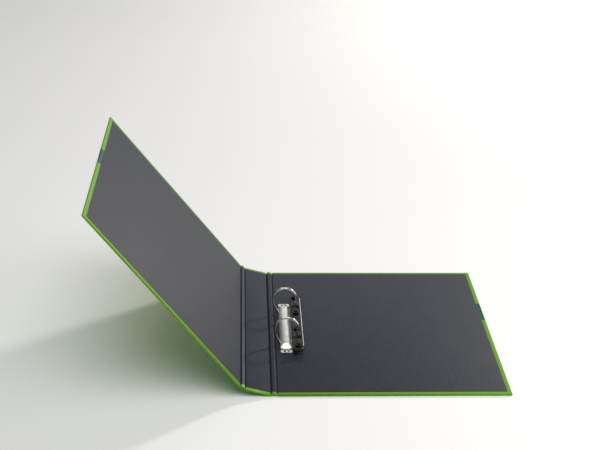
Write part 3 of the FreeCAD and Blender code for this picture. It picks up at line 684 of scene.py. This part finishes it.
def plate_mesh():
    """The plate as one formed sheet with its own thickness, open underneath."""
    mesh = bmesh.new()
    shares = [math.sin(math.pi / 2 * (2 * i / PLATE_COLUMNS - 1)) for i in range(PLATE_COLUMNS + 1)]
    quarter = [math.pi / 2 * i / END_STEPS for i in range(END_STEPS + 1)]
    ends = [PLATE_END - TAB_ROUND * (1 - math.cos(turn)) for turn in quarter]
    tab = [PLATE_END - TAB_ROUND - TAB_STEP * i for i in range(1, TAB_STEPS + 1)]
    slope = [tab[-1] - SLOPE_STEP * i for i in range(1, SLOPE_STEPS + 1)]
    side = ends + tab + slope
    rows = [-y for y in side] + [0.0] + side[::-1]
    grids = []
    for thickness in (0.0, PLATE_GAUGE):
        grid = []
        for y in rows:
            half = plate_half_width(y)
            line = [Vector((share * half, y, plate_height(share, y))) for share in shares]
            line = [Vector((-half, y, 0))] + line + [Vector((half, y, 0))]
            if thickness:
                squeeze = (half - thickness) / half
                line = [Vector((p.x * squeeze, p.y, max(p.z - thickness, 0.0))) for p in line]
            grid.append([mesh.verts.new(p) for p in line])
        grids.append(grid)
    outer, inner = grids
    for grid in grids:
        for first, second in zip(grid, grid[1:]):
            for i in range(len(first) - 1):
                mesh.faces.new((first[i], first[i + 1], second[i + 1], second[i]))
    for over, under in ((outer[0], inner[0]), (outer[-1], inner[-1])):
        for i in range(len(over) - 1):
            mesh.faces.new((over[i], over[i + 1], under[i + 1], under[i]))
    for row in range(len(rows) - 1):
        for i in (0, -1):
            mesh.faces.new((outer[row][i], outer[row + 1][i], inner[row + 1][i], inner[row][i]))
    return mesh


NOTCH_HALF, NOTCH_DEPTH, NOTCH_HEIGHT, NOTCH_ROUND = 2 * MM, 4.1 * MM, 4.8 * MM, 0.8 * MM


def notch_tool(side, y):
    """A round-cornered cutter for the opening that a ring's root passes through."""
    mesh = bmesh.new()
    start, end = sorted((side * (PLATE_HALF - NOTCH_DEPTH), side * (PLATE_HALF + MM)))
    add_box(mesh, (start, y - NOTCH_HALF, -MM), (end, y + NOTCH_HALF, NOTCH_HEIGHT))
    bevel(mesh, upright_edges(mesh), NOTCH_ROUND, 4)
    return mesh


def hole_tool(x, y, radius, low=-MM):
    """A round cutter from a low end to above the plate; it cuts right through unless the end is raised."""
    mesh = bmesh.new()
    place = Matrix.Translation((x, y, (low + 2 * PLATE_CROWN) / 2))
    bmesh.ops.create_cone(mesh, cap_ends=True, segments=32, radius1=radius, radius2=radius,
                          depth=2 * PLATE_CROWN - low, matrix=place)
    return mesh


SEAT_RADIUS, SEAT_FLOOR = 3.7 * MM, 0.2 * MM
CUT_OUT_RADIUS = 1.8 * MM
CUT_OUT_X, CUT_OUT_Y = PLATE_HALF - 1.7 * MM, DOME_END + 0.9 * MM
VENT_RADIUS = 0.8 * MM
VENT_Y = RING_Y + 6 * MM
CRISP_ROUND = 0.12 * MM              # what every hard edge of the mechanism is rounded by


def make_plate():
    """The plate, with its ring openings, a sunk seat for each rivet, and round cut-outs beside the tabs."""
    tools = [notch_tool(side, y) for side in (-1, 1) for y in (-RING_Y, RING_Y)]
    for end in (-1, 1):
        tools.append(hole_tool(0, end * RIVET_Y, SEAT_RADIUS, SEAT_FLOOR))
        tools.append(hole_tool(0, end * VENT_Y, VENT_RADIUS))
        for side in (-1, 1):
            tools.append(hole_tool(side * CUT_OUT_X, end * CUT_OUT_Y, CUT_OUT_RADIUS))
    plate = finished("ring_plate", carve(plate_mesh(), *tools), NICKEL, "back_cover",
                     ["mechanism_plate"], MECHANISM)
    soften(plate, CRISP_ROUND)


def make_rivets():
    """Hollow rivets: a rolled head in the tab's seat, a dimple down its middle, a flat flange outside.
    The outline's points are (radius, height) in mm."""
    outside, seat, top = -PLATE_BOX[0].z / MM, SEAT_FLOOR / MM, TAB_HEIGHT / MM
    flange = [(0, outside), (3.4, outside), (3.6, outside + 0.15), (3.6, outside + 0.5), (1.8, outside + 0.5)]
    head = [(1.8, seat), (2.5, seat), (2.7, seat + 0.15), (2.6, seat + 0.4), (2.15, top + 0.1),
            (2.0, top + 0.5), (1.75, top + 0.75), (1.5, top + 0.8), (1.25, top + 0.7)]
    dimple = [(1.1, top + 0.3), (1.0, top - 0.2), (0.7, top - 0.4), (0, top - 0.42)]
    for end, sign in (("head", 1), ("tail", -1)):
        mesh = lathe([(radius * MM, height * MM) for radius, height in flange + head + dimple])
        place = MECHANISM @ Matrix.Translation((0, sign * RIVET_Y, 0))
        finished(f"rivet_{end}_piece", mesh, NICKEL, "back_cover", [f"rivet_{end}"], place,
                 sharp=50)


RING_TOP = RING_BOX[1].z - WIRE - PLATE_BOX[0].z
RING_SIDE = RING_BOX[1].x - WIRE - MECHANISM.translation.x
TIP = RING_BOX[0].x - MECHANISM.translation.x
TIP_FLAT = 1.2 * MM
LEG_RADIUS = 29.64 * MM
ROOT_HEIGHT, ROOT_RADIUS, ROOT_REACH = 3.13 * MM, 3 * MM, 4 * MM
WIRE_END_ROUND = 0.25 * MM
PEG_RADIUS, PEG_START, PEG_END = WIRE * 0.55, TIP + 0.3 * MM, -TIP * 0.8


def ring_path():
    """The wire's middle line, from its tip over the shoulder and down the leg to its end in the blade."""
    shoulder = RING_SIDE - TIP_FLAT
    waist = RING_TOP - shoulder
    lean = math.degrees(math.asin((waist - ROOT_HEIGHT) / LEG_RADIUS))
    leg_centre = Vector((RING_SIDE - LEG_RADIUS, 0, waist))
    inward = Vector((math.cos(math.radians(lean)), 0, -math.sin(math.radians(lean))))
    root_centre = leg_centre + inward * (LEG_RADIUS - ROOT_RADIUS)
    points = [Vector((TIP, 0, RING_TOP))]
    points += arc_points(Vector((TIP_FLAT, 0, waist)), shoulder, 90, 0, 24)
    points += arc_points(leg_centre, LEG_RADIUS, 0, -lean, 14)[1:]
    points += arc_points(root_centre, ROOT_RADIUS, -lean, -90, 8)[1:]
    points.append(Vector((ROOT_REACH, 0, points[-1].z)))
    return points


def make_rings():
    """The four ring halves, and the peg on each left tip that enters the right one."""
    path = ring_path()
    for side, turn in (("right", 0.0), ("left", math.pi)):
        for end, sign in (("head", 1), ("tail", -1)):
            place = MECHANISM @ Matrix.Translation((0, sign * RING_Y, 0)) @ Matrix.Rotation(turn, 4, "Z")
            wire = tube(path, WIRE, 28, WIRE_END_ROUND)
            finished(f"{side}_ring_{end}_wire", wire, CHROME, f"{side}_ring",
                     [f"{side}_ring_{end}"], place)
            if side == "left":
                peg = [Vector((PEG_START, 0, RING_TOP)), Vector((PEG_END, 0, RING_TOP))]
                finished(f"ring_peg_{end}", tube(peg, PEG_RADIUS, 20), CHROME, "left_ring",
                         (), place)


make_plate()
make_rivets()
make_rings()
for blade in ("left_blade", "right_blade"):
    frame["nodes"][blade].data.materials.clear()
    frame["nodes"][blade].data.materials.append(STEEL)

# ---------------------------------------------------------------- compressor bar

BAR_BOX, EDGE_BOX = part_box("bar_channel"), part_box("bar_edge")
GRIP_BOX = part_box("grip_head_a")
SHIFT = -MECHANISM.translation
BAR_LOW, BAR_HIGH = BAR_BOX[0] + SHIFT, BAR_BOX[1] + SHIFT
BAR_TOP = GRIP_BOX[0].z + SHIFT.z
BAR_MIDDLE = (BAR_LOW.x + BAR_HIGH.x) / 2
TOP_GAUGE = 1.8 * MM
SKIRT, END_WALL = 1 * MM, 2.5 * MM
BAR_CORNER, BAR_ROUND = 2.5 * MM, 1 * MM
SLOT_START, SLOT_END = 8.85 * MM, 14.0 * MM
SLOT_HALF, SLOT_CORNER = 2.1 * MM, 1.2 * MM


def bar_mesh():
    """The channel: a round-shouldered bar, hollow beneath, with a slot and a skirt gap at each ring."""
    mesh = bmesh.new()
    add_box(mesh, BAR_LOW, (BAR_HIGH.x, BAR_HIGH.y, BAR_TOP))
    bevel(mesh, upright_edges(mesh), BAR_CORNER, 8)
    top = [e for e in mesh.edges if all(abs(v.co.z - BAR_TOP) < PAPER for v in e.verts)]
    bevel(mesh, top, BAR_ROUND, 5)
    below, ceiling = BAR_LOW.z - MM, BAR_TOP - TOP_GAUGE
    hollow = bmesh.new()
    add_box(hollow, (BAR_LOW.x + SKIRT, BAR_LOW.y + END_WALL, below),
            (BAR_HIGH.x - SKIRT, BAR_HIGH.y - END_WALL, ceiling))
    tools = [hollow]
    for y in (-RING_Y, RING_Y):
        slot, gap = bmesh.new(), bmesh.new()
        add_box(slot, (SLOT_START, y - SLOT_HALF, below), (SLOT_END, y + SLOT_HALF, BAR_TOP + MM))
        bevel(slot, upright_edges(slot), SLOT_CORNER, 5)
        add_box(gap, (BAR_LOW.x - MM, y - SLOT_HALF, below), (SLOT_START + SKIRT, y + SLOT_HALF, ceiling))
        tools += [slot, gap]
    return carve(mesh, *tools)


RIB_HALF_WIDTH, RIB_HALF_LENGTH = 0.8 * MM, 3 * MM
RIB_SUNK, RIB_HEIGHT, RIB_ROUND = 0.1 * MM, 0.85 * MM, 0.45 * MM


def make_ribs():
    """Raised ribs along the middle of the bar's top, between the grips and the ring slots."""
    for name, ring in (("head", RING_Y), ("tail", -RING_Y)):
        for letter in ("a", "b"):
            low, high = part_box(f"grip_{name}_{letter}")
            mesh = bmesh.new()
            centre = (ring + (low.y + high.y) / 2) / 2
            start = (BAR_MIDDLE - RIB_HALF_WIDTH, centre - RIB_HALF_LENGTH, BAR_TOP - RIB_SUNK)
            end = (BAR_MIDDLE + RIB_HALF_WIDTH, centre + RIB_HALF_LENGTH, BAR_TOP + RIB_HEIGHT)
            add_box(mesh, start, end)
            bevel(mesh, [e for e in mesh.edges if max(v.co.z for v in e.verts) > BAR_TOP], RIB_ROUND, 4)
            finished(f"bar_rib_{name}_{letter}", mesh, BAR_PLASTIC, "bar", (), MECHANISM)


def make_grips():
    """Finger grips: round buttons with a rolled rim, a dished top and a fillet at the foot. The outline's
    points are (radius, height) in mm."""
    foot = [(0, -0.2), (4.2, -0.2), (4.2, 0.25), (4.05, 0.45), (3.9, 0.6), (3.8, 0.9)]
    rim = [(3.9, 1.5), (3.85, 2.0), (3.6, 2.4), (3.15, 2.58), (2.75, 2.5)]
    dish = [(2.2, 2.2), (1.2, 1.95), (0, 1.9)]
    for end in ("head", "tail"):
        for letter in ("a", "b"):
            node = f"grip_{end}_{letter}"
            low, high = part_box(node)
            place = Matrix.Translation(((low.x + high.x) / 2, (low.y + high.y) / 2, low.z))
            mesh = lathe([(radius * MM, height * MM) for radius, height in foot + rim + dish], 40)
            finished(f"{node}_button", mesh, GRIP_PLASTIC, "bar", [node], place, sharp=60)


CLAMP_NOSE, CLAMP_UPRIGHT, CLAMP_SLOPE_IN = 1.4 * MM, 1.1 * MM, 0.75 * MM
THUMB_RIDGE_RISE, THUMB_RIDGE_DEPTH = 0.25 * MM, 0.5 * MM
THUMB_RIDGE_PITCH, THUMB_RIDGE_SHIFT = 0.8 * MM, 0.2 * MM
THUMB_RIDGE_HALF, THUMB_RIDGE_HALF_LENGTH = 0.2 * MM, 1.4 * MM


def wedge_mesh(low, high):
    """A wedge that stands upright, then slopes in; its narrow nose points to -X. Thumb ridges on top."""
    mesh = bmesh.new()
    half = (high.y - low.y) / 2
    middle = (low + high) / 2
    outline = [(high.x, low.y), (high.x, high.y), (low.x + CLAMP_NOSE, high.y),
               (low.x, middle.y + half / 3), (low.x, middle.y - half / 3), (low.x + CLAMP_NOSE, low.y)]
    top = high.z - THUMB_RIDGE_RISE
    loops = []
    for height, inset in ((low.z, 0.0), (low.z + CLAMP_UPRIGHT, 0.0), (top, CLAMP_SLOPE_IN)):
        squeeze = 1 - inset / half
        loops.append([mesh.verts.new((middle.x + (x - middle.x) * squeeze,
                                      middle.y + (y - middle.y) * squeeze, height)) for x, y in outline])
    prism(mesh, loops)
    for step in (-1, 0, 1):
        x = middle.x + step * THUMB_RIDGE_PITCH + THUMB_RIDGE_SHIFT
        start = (x - THUMB_RIDGE_HALF, middle.y - THUMB_RIDGE_HALF_LENGTH, high.z - THUMB_RIDGE_DEPTH)
        end = (x + THUMB_RIDGE_HALF, middle.y + THUMB_RIDGE_HALF_LENGTH, high.z)
        add_box(mesh, start, end)
    return mesh


def make_clamps():
    """Sliding clamps, one at each ring."""
    for end in ("head", "tail"):
        node = f"clamp_{end}"
        wedge = finished(f"{node}_wedge", wedge_mesh(*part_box(node)), GRIP_PLASTIC, node,
                         [node])
        soften(wedge, CRISP_ROUND)


EDGE_LIP, EDGE_GAUGE = 0.75 * MM, 0.35 * MM


def edge_mesh():
    """The steel strip: it stands along the bar's outer side and is folded over the bar's top."""
    low, high = EDGE_BOX
    lip_end, lip_under = high.x - EDGE_LIP, high.z - EDGE_GAUGE
    outline = [(low.x, low.z), (high.x, low.z), (high.x, high.z), (lip_end, high.z),
               (lip_end, lip_under), (low.x, lip_under)]
    mesh = bmesh.new()
    prism(mesh, [[mesh.verts.new((x, y, z)) for x, z in outline] for y in (low.y, high.y)])
    return mesh


def make_bar():
    """The channel, and the steel strip along its outer side."""
    channel = finished("compressor_bar", bar_mesh(), BAR_PLASTIC, "bar", ["bar_channel"],
                       MECHANISM)
    soften(channel, CRISP_ROUND)
    edge = finished("bar_edge_strip", edge_mesh(), STEEL, "bar", ["bar_edge"])
    soften(edge, CRISP_ROUND, 3)


make_bar()
make_ribs()
make_grips()
make_clamps()

# ---------------------------------------------------------------- floor, light and camera

FLOOR_HALF, FLOOR_DROP = 12, 0.05 * MM


def make_floor():
    """A plain pale floor just under the binder."""
    mesh = bmesh.new()
    bmesh.ops.create_grid(mesh, x_segments=1, y_segments=1, size=FLOOR_HALF)
    data = bpy.data.meshes.new("floor")
    mesh.to_mesh(data)
    mesh.free()
    shader = Shader("pale_floor", Roughness=0.8, Specular_IOR_Level=0.2)
    shader.feed("Base Color", shader.mix(shader.noise(3, 2.0), (0.9, 0.9, 0.9), (0.93, 0.93, 0.93)))
    data.materials.append(shader.material)
    floor = bpy.data.objects.new("floor", data)
    floor.location.z = cad_box[0].z - FLOOR_DROP
    bpy.context.scene.collection.objects.link(floor)


def make_light(name, place, aim, size, power, tint=(1, 1, 1)):
    """A round soft light of a width in metres and a power in watts, aimed at a point."""
    light = bpy.data.lights.new(name, "AREA")
    light.shape, light.size, light.energy, light.color = "DISK", size, power, tint
    lamp = bpy.data.objects.new(name, light)
    lamp.location = place
    lamp.rotation_euler = (Vector(aim) - Vector(place)).to_track_quat("-Z", "Y").to_euler()
    bpy.context.scene.collection.objects.link(lamp)


def make_world(strength):
    """An even, slightly cool light from all round."""
    world = bpy.data.worlds.new("studio")
    world.use_nodes = True
    background = world.node_tree.nodes["Background"]
    background.inputs["Color"].default_value = (0.95, 0.98, 1, 1)
    background.inputs["Strength"].default_value = strength
    bpy.context.scene.world = world


CAMERA_PLACE = Vector((-0.1783, -1.4151, 0.7697))
CAMERA_YAW, CAMERA_PITCH, CAMERA_ROLL = 0.051, 0.416, -0.023
CAMERA_LENS = 76.9


def make_camera():
    """The photograph's camera, fitted to the straight edges of the open binder."""
    data = bpy.data.cameras.new("camera")
    data.lens, data.sensor_width = CAMERA_LENS, 36
    data.clip_start, data.clip_end = 0.05, 60
    camera = bpy.data.objects.new("camera", data)
    upright = Matrix.Rotation(math.pi / 2 - CAMERA_PITCH, 4, "X")
    turn = Matrix.Rotation(-CAMERA_YAW, 4, "Z")
    roll = Matrix.Rotation(-CAMERA_ROLL, 4, "Z")
    camera.matrix_world = Matrix.Translation(CAMERA_PLACE) @ turn @ upright @ roll
    bpy.context.scene.collection.objects.link(camera)
    bpy.context.scene.camera = camera


WARM = (1, 0.95, 0.88)

make_floor()
make_world(0.22)
make_light("key", (1.5, 1.9, 1.0), (-0.12, 0, 0.02), 0.3, 39, WARM)
make_light("side", (0.85, -0.3, 0.4), (-0.15, 0, 0.02), 1.1, 6, WARM)
make_light("rear", (0.2, 3.4, 1.4), (-0.12, 0, 0.02), 2.6, 14)
make_light("top", (-0.1, -0.9, 2.4), (-0.1, 0, 0), 2.2, 32)
make_camera()
bpy.context.scene.view_settings.view_transform = "Standard"
